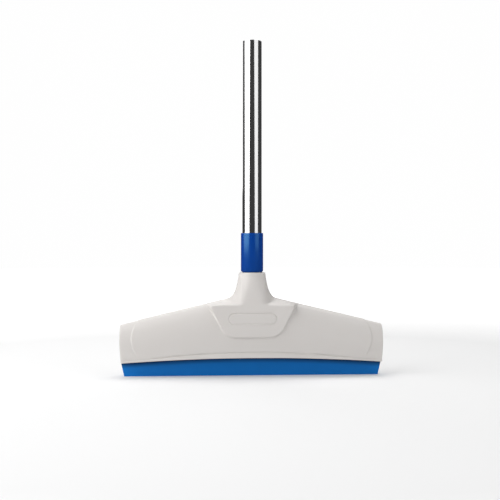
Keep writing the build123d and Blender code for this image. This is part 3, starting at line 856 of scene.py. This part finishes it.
# ---------------------------------------------------------------- operators
class SQUEEGEE_OT_stage(Operator):
    """Floor, soft studio lights and camera"""

    bl_idname = "squeegee.stage"
    bl_label = "Stage"

    def execute(self, context):
        stage = settings().stage
        self.camera(stage)
        self.floor(stage)
        self.wall()
        # name, degrees round from the camera's side (left is negative), distance, height, size, power
        self.light("key", -66, 1.25, 0.85, (1.72, 1.7), 24.0)
        self.light("fill", 50, 1.25, 0.90, (1.17, 1.8), 7.2)
        self.light("top", 165, 0.55, 1.50, (1.4, 0.9), 15.0)
        self.light("rear", -165, 1.5, 0.80, (1.1, 1.0), 4.0)
        context.scene.view_settings.view_transform = "Standard"
        world = bpy.data.worlds.new("studio")
        world.use_nodes = True
        inputs = world.node_tree.nodes["Background"].inputs
        inputs["Color"].default_value, inputs["Strength"].default_value = (1.0, 1.0, 1.0, 1.0), stage.ambient
        context.scene.world = world
        return {"FINISHED"}

    def camera(self, stage):
        data = bpy.data.cameras.new("camera")
        data.lens = stage.lens
        data.clip_start, data.clip_end = 0.01, 50.0
        eye = linked("camera", data)
        a = stage.azimuth
        eye.location = (stage.distance * math.sin(a), -stage.distance * math.cos(a), stage.eye_height)
        aim = Vector((stage.aside, 0.0, stage.eye_height))
        eye.rotation_euler = (aim - eye.location).to_track_quat("-Z", "Y").to_euler()
        bpy.context.scene.camera = eye

    ROOM = 6.0  # radius of the floor and the wall
    PALE_FROM, PALE_RUN, PALE_GLOW = 0.5, 1.2, 0.9  # the floor's own light grows by this much out there

    def floor(self, stage):
        """Round pale floor that grows brighter towards the horizon."""
        deselect()
        bpy.ops.mesh.primitive_circle_add(vertices=96, radius=self.ROOM, fill_type="NGON", location=(0, 0, 0))
        floor = bpy.context.object
        mode("EDIT")
        bpy.ops.mesh.inset(thickness=self.ROOM - 1.0)
        mode("OBJECT")
        floor.name = "floor"
        floor.visible_glossy = False
        made = Finish("floor")
        far = made.node("ShaderNodeVectorMath", {"operation": "LENGTH"}, {0: made.place}, out="Value")
        glow = ((far - self.PALE_FROM) / self.PALE_RUN).clamped() * self.PALE_GLOW + stage.glow
        tint = made.noise(0.5)
        made.set(Base_Color=made.mix(tint, (0.77, 0.77, 0.77), (0.76, 0.76, 0.76)), Roughness=0.9)
        made.set(Emission_Color=made.mix(glow, (0.0, 0.0, 0.0), (1.0, 1.0, 1.0)), Emission_Strength=1.0)
        wear(floor, made.material)

    def wall(self):
        """White wall all round, which only the camera sees."""
        deselect()
        bpy.ops.mesh.primitive_uv_sphere_add(segments=48, ring_count=24, radius=self.ROOM, location=(0, 0, 0))
        wall = bpy.context.object
        mode("EDIT")
        select_whole()
        bpy.ops.mesh.bisect(plane_co=(0, 0, -0.1), plane_no=(0, 0, 1), clear_inner=True)
        select_whole()
        bpy.ops.mesh.flip_normals()
        mode("OBJECT")
        wall.name = "wall"
        wall.visible_glossy = wall.visible_diffuse = wall.visible_shadow = False
        made = Finish("wall")
        tint = made.noise(2.0)
        made.set(Base_Color=(0.0, 0.0, 0.0, 1.0), Roughness=1.0, Specular_IOR_Level=0.0)
        made.set(Emission_Color=made.mix(tint, (1.0, 1.0, 1.0), (0.99, 0.99, 0.99)), Emission_Strength=1.0)
        wear(wall, made.material)

    def light(self, name, azimuth, distance, height, size, power):
        data = bpy.data.lights.new(name, "AREA")
        data.shape = "RECTANGLE"
        data.size, data.size_y = size
        data.energy = power
        lamp = linked(name, data)
        a = math.radians(azimuth)
        lamp.location = (distance * math.sin(a), -distance * math.cos(a), height)
        aim = Vector((0, 0, settings().stage.light_aim))
        lamp.rotation_euler = (aim - lamp.location).to_track_quat("-Z", "Y").to_euler()
        lamp.visible_camera = False


class SQUEEGEE_OT_shells(Operator):
    """Front and rear half shells"""

    bl_idname = "squeegee.shells"
    bl_label = "Shells"
    GAPS = (0.45, 0.55, 0.75, 1.1)  # millimetres between grid planes
    NUDGE = (0.013, 0.007, 0.011)  # keeps the grid's planes off the form's own flat faces

    def execute(self, context):
        head = settings().head
        material = moulded_white(settings().finishes.shell)
        form = HeadForm(head)
        fine, middling, plain, coarse = (gap * head.spacing for gap in self.GAPS)
        # finer over the badge, the pad's sides, the end panels' lines, the lip and the foot of the neck
        ends = ((130.0, coarse), (138.0, fine), (151.0, plain))
        right = spaced((0.0, fine), (30.0, fine), (52.0, middling), *ends)
        xs = np.concatenate([-right[:0:-1], right])
        zs = spaced((14.3, plain), (27.5, middling), (74.0, plain), (84.0, middling), (119.0, plain))
        for side, node in ((-1, "front_shell"), (1, "rear_shell")):
            ys = np.sort(side * spaced((-0.7, plain), (18.4, plain)))
            grid = [places + nudge for places, nudge in zip((xs, ys, zs), self.NUDGE)]
            vertices, quads = contour(form.half(side), *grid)
            vertices = np.clip(vertices, low(node) / MM, high(node) / MM)
            mesh = bpy.data.meshes.new(node)
            mesh.from_pydata((vertices * MM).tolist(), [], quads.tolist())
            piece = linked(node, mesh)
            finished(piece, "moulded_" + node, "head", "shell", material, node, angle=38.0)
        return {"FINISHED"}


class SQUEEGEE_OT_blade(Operator):
    """Rubber blade, one strip with a bead along its top"""

    bl_idname = "squeegee.blade"
    bl_label = "Blade"

    def execute(self, context):
        blade = settings().blade
        half, top = high("blade_bead").x, high("blade_bead").z
        web, bead = high("blade_lip").y, high("blade_bead").y
        bead_foot = top - blade.bead_height
        piece = block((2 * half, 2 * web, bead_foot), (0, 0, bead_foot / 2))
        pick(piece, lambda v: v.z > bead_foot / 2)
        bpy.ops.mesh.extrude_region_move(TRANSFORM_OT_translate={"value": (0, 0, 0)})
        bpy.ops.transform.resize(value=(1, bead / web, 1), center_override=(0, 0, bead_foot))
        bpy.ops.mesh.extrude_region_move(TRANSFORM_OT_translate={"value": (0, 0, blade.bead_height)})
        mode("OBJECT")
        thinner, shorter = blade.edge_thickness / 2 / web, 1 - blade.end_trim / half
        for height, shrink in ((blade.taper_from, (1, thinner, 1)), (blade.trim_height, (shorter, 1, 1))):
            sliced(piece, [height])
            pick(piece, lambda v: v.z < MERGE)
            bpy.ops.transform.resize(value=shrink, center_override=(0, 0, 0))
            mode("OBJECT")
        soften(piece, blade.edge_round)
        gap = (blade.bend_top - blade.bend_foot) / blade.loops
        sliced(piece, [blade.bend_foot + (i - 0.5) * gap for i in range(blade.loops + 2)])
        material = rubber_blue(settings().finishes.blade)
        finished(piece, "rubber_blade", None, "blade", material, "blade_bead", "blade_lip", angle=40.0)
        straight = piece.data.attributes.new(STRAIGHT_PLACE, "FLOAT_VECTOR", "POINT")
        straight.data.foreach_set("vector", [c for vertex in piece.data.vertices for c in vertex.co])
        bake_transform(piece)
        return {"FINISHED"}


class SQUEEGEE_OT_tube(Operator):
    """Plated tube with a rolled groove"""

    bl_idname = "squeegee.tube"
    bl_label = "Tube"

    def execute(self, context):
        pole = settings().pole
        radius, foot, top = turned("pole_tube")
        bore = radius - pole.tube_wall
        rim = high("ferrule").z
        groove_foot, groove = rim - pole.groove_height, radius - pole.groove_depth
        size = pole.rim_round
        piece = lathe(
            [
                (bore, foot),
                (radius, foot),
                (radius, groove_foot - pole.groove_depth),
                (groove, groove_foot),
                (groove, rim - pole.groove_depth),
                (radius, rim),
                *arc(radius - size, top - size, size, 0, 90),
                *arc(bore + size, top - size, size, 90, 180),
            ],
            pole.segments,
        )
        combined(piece, rivet_drill(), "DIFFERENCE")
        material = bright_plate(settings().finishes.plate)
        finished(piece, "plated_tube", "pole", "tube", material, "pole_tube")
        return {"FINISHED"}


def rivet_drill():
    """Cutter for the rivet's hole through the rear of the ferrule and the tube."""
    middle = (low("ferrule_rivet") + high("ferrule_rivet")) / 2
    reach = high("ferrule_rivet").y
    return cylinder(settings().screws.shank_radius + FIT, 2 * reach, (0, reach, middle.z), math.pi / 2)


class SQUEEGEE_OT_ferrule(Operator):
    """Glossy sleeve with a threaded nose"""

    bl_idname = "squeegee.ferrule"
    bl_label = "Ferrule"

    def execute(self, context):
        pole = settings().pole
        radius, nose_end, rim = turned("ferrule")
        shoulder = high("neck_washer").z
        bore = high("pole_tube").x + FIT
        size = pole.ferrule_round
        edge = 0.3 * MM  # small chamfers
        piece = lathe(
            [
                (pole.nose_bore, nose_end),
                (pole.nose_radius - edge, nose_end),
                (pole.nose_radius, nose_end + edge),
                (pole.nose_radius, shoulder),
                (radius - pole.ferrule_chamfer - edge, shoulder),
                (radius - pole.ferrule_chamfer, shoulder + edge / 3),
                (radius - edge / 3, shoulder + pole.ferrule_chamfer),
                (radius, shoulder + pole.ferrule_chamfer + edge),
                *arc(radius - size, rim - size, size, 0, 90),
                (bore + edge, rim),
                (bore, rim - edge),
                (bore, shoulder + pole.floor),
                (pole.nose_bore, shoulder + pole.floor),
            ],
            pole.segments,
        )
        combined(piece, self.thread(pole, nose_end), "UNION")
        combined(piece, rivet_drill(), "DIFFERENCE")
        material = glossy_blue(settings().finishes.ferrule)
        finished(piece, "moulded_ferrule", "pole", "ferrule", material, "ferrule")
        return {"FINISHED"}

    def thread(self, pole, nose_end):
        """Helical ridge: a trapezoid drawn round the axis by the screw modifier."""
        start = nose_end + 2.0 * MM
        sink = 0.5 * MM  # the ridge's root lies this deep in the nose
        steps = round(64 * pole.thread_turns)  # 64 in a turn
        deselect()
        bpy.ops.mesh.primitive_plane_add(size=1, location=(0, 0, 0), rotation=(math.pi / 2, 0, 0))
        ridge = settle(bpy.context.object)
        slope = (pole.thread_root - pole.thread_crest) / 2 / pole.thread_depth
        wide = pole.thread_root / 2 + slope * sink
        for vertex in ridge.data.vertices:
            outer = vertex.co.x > 0
            vertex.co.x = pole.nose_radius + (pole.thread_depth if outer else -sink)
            vertex.co.z = start + math.copysign(pole.thread_crest / 2 if outer else wide, vertex.co.z)
        mode("EDIT")
        select_whole()
        bpy.ops.mesh.delete(type="ONLY_FACE")
        mode("OBJECT")
        apply(
            ridge,
            "SCREW",
            axis="Z",
            angle=2 * math.pi * pole.thread_turns,
            screw_offset=pole.thread_pitch * pole.thread_turns,
            steps=steps,
            render_steps=steps,
            use_merge_vertices=False,
        )
        mode("EDIT")
        bpy.ops.mesh.select_mode(type="EDGE")
        bpy.ops.mesh.select_all(action="DESELECT")
        bpy.ops.mesh.select_non_manifold()
        bpy.ops.mesh.fill()
        select_whole()
        bpy.ops.mesh.normals_make_consistent(inside=False)
        mode("OBJECT")
        return ridge


class SQUEEGEE_OT_end_bush(Operator):
    """Bush in the tube's open top"""

    bl_idname = "squeegee.end_bush"
    bl_label = "End bush"

    def execute(self, context):
        pole = settings().pole
        radius, foot, top = turned("end_bush")
        size = 2 * pole.rim_round
        floor = foot + pole.bush_floor
        piece = lathe(
            [
                (AXIS, foot),
                *arc(radius - size, foot + size, size, -90, 0),
                *arc(radius - size, top - size, size, 0, 90),
                *arc(pole.bush_bore + size, top - size, size, 90, 180),
                (pole.bush_bore, floor),
                (AXIS, floor),
            ],
            pole.segments // 2,
            closed=False,
        )
        material = plain_moulding("dark_blue_moulding", (0.006, 0.03, 0.16), 0.35)
        finished(piece, "tube_end_bush", "pole", "end_bush", material, "end_bush")
        return {"FINISHED"}


class SQUEEGEE_OT_washer(Operator):
    """Washer under the ferrule's shoulder"""

    bl_idname = "squeegee.washer"
    bl_label = "Neck washer"

    def execute(self, context):
        pole = settings().pole
        radius, foot, top = turned("neck_washer")
        play, edge_round = 0.8 * MM, 0.15 * MM
        bore = pole.nose_radius + pole.thread_depth + play
        piece = lathe([(bore, foot), (radius, foot), (radius, top), (bore, top)], pole.segments)
        soften(piece, edge_round)
        material = plain_moulding("white_washer", (0.75, 0.75, 0.73), 0.4)
        finished(piece, "pole_neck_washer", "washer", "washer", material, "neck_washer")
        return {"FINISHED"}


class SQUEEGEE_OT_screws(Operator):
    """Six pan-head screws that hold the shells together"""

    bl_idname = "squeegee.screws"
    bl_label = "Screws"

    def execute(self, context):
        screws = settings().screws
        pieces = [self.screw(screws, low("shell_screws").y, high("shell_screws").y)]
        places = HeadForm(settings().head).screws
        for _ in places[1:]:
            activate(pieces[0])
            bpy.ops.object.duplicate()
            pieces.append(bpy.context.object)
        for piece, (x, z) in zip(pieces, places):
            piece.location = (x * MM, 0, z * MM)
        piece = one_piece(pieces)
        material = dull_metal("zinc_plate", (0.55, 0.55, 0.56), (1, 1, 1), 0.3)
        finished(piece, "pan_head_screws", "head", "screw_steel", material, "shell_screws")
        return {"FINISHED"}

    def screw(self, screws, tip, head):
        """One screw about Z, then tipped so that its head faces the rear."""
        seat = head - screws.head_height
        size, radius = screws.head_round, screws.head_radius
        blunt, edge = 0.4 * MM, 0.1 * MM  # radius of the tip, and chamfer under the head
        piece = lathe(
            [
                (AXIS, tip),
                (blunt, tip),
                (screws.shank_radius, tip + 2 * screws.shank_radius),
                (screws.shank_radius, seat),
                (radius - edge, seat),
                (radius, seat + edge),
                *arc(radius - size, head - size, size, 0, 90, 6),
                (AXIS, head),
            ],
            48,
            closed=False,
        )
        long, wide = screws.recess_length, screws.recess_width
        for arm in ((long, wide), (wide, long)):
            combined(piece, block((*arm, 2 * wide), (0, 0, head)), "DIFFERENCE")
        piece.rotation_euler = (-math.pi / 2, 0, 0)
        return settle(piece)


class SQUEEGEE_OT_fittings(Operator):
    """Finishes of the fittings whose CAD shape stays"""

    bl_idname = "squeegee.fittings"
    bl_label = "Fittings"

    def execute(self, context):
        wear(NODES["blade_channel"], dull_metal("drawn_aluminium", (0.7, 0.7, 0.71), (0.02, 1, 1), 0.28))
        wear(NODES["ferrule_rivet"], dull_metal("rivet_aluminium", (0.72, 0.72, 0.73), (1, 1, 1), 0.3))
        wear(NODES["threaded_bush"], plain_moulding("grey_moulding", (0.09, 0.095, 0.1), 0.45))
        return {"FINISHED"}


STEPS = (
    SQUEEGEE_OT_stage,
    SQUEEGEE_OT_shells,
    SQUEEGEE_OT_blade,
    SQUEEGEE_OT_tube,
    SQUEEGEE_OT_ferrule,
    SQUEEGEE_OT_end_bush,
    SQUEEGEE_OT_washer,
    SQUEEGEE_OT_screws,
    SQUEEGEE_OT_fittings,
)


class SQUEEGEE_PT_panel(Panel):
    """Steps that build the squeegee"""

    bl_label = "Squeegee"
    bl_idname = "SQUEEGEE_PT_panel"
    bl_space_type = "VIEW_3D"
    bl_region_type = "UI"
    bl_category = "Squeegee"

    def draw(self, context):
        for operator in STEPS:
            self.layout.operator(operator.bl_idname)


CLASSES = (
    SqueegeeFinishes,
    SqueegeeHead,
    SqueegeePole,
    SqueegeeBlade,
    SqueegeeScrews,
    SqueegeeStage,
    SqueegeeSettings,
    *STEPS,
    SQUEEGEE_PT_panel,
)


def register():
    for cls in CLASSES:
        bpy.utils.register_class(cls)
    bpy.types.Scene.squeegee = PointerProperty(type=SqueegeeSettings)


def unregister():
    del bpy.types.Scene.squeegee
    for cls in reversed(CLASSES):
        bpy.utils.unregister_class(cls)


def main():
    register()
    for operator in STEPS:
        getattr(bpy.ops.squeegee, operator.bl_idname.split(".")[1])()


if __name__ == "__main__":
    main()
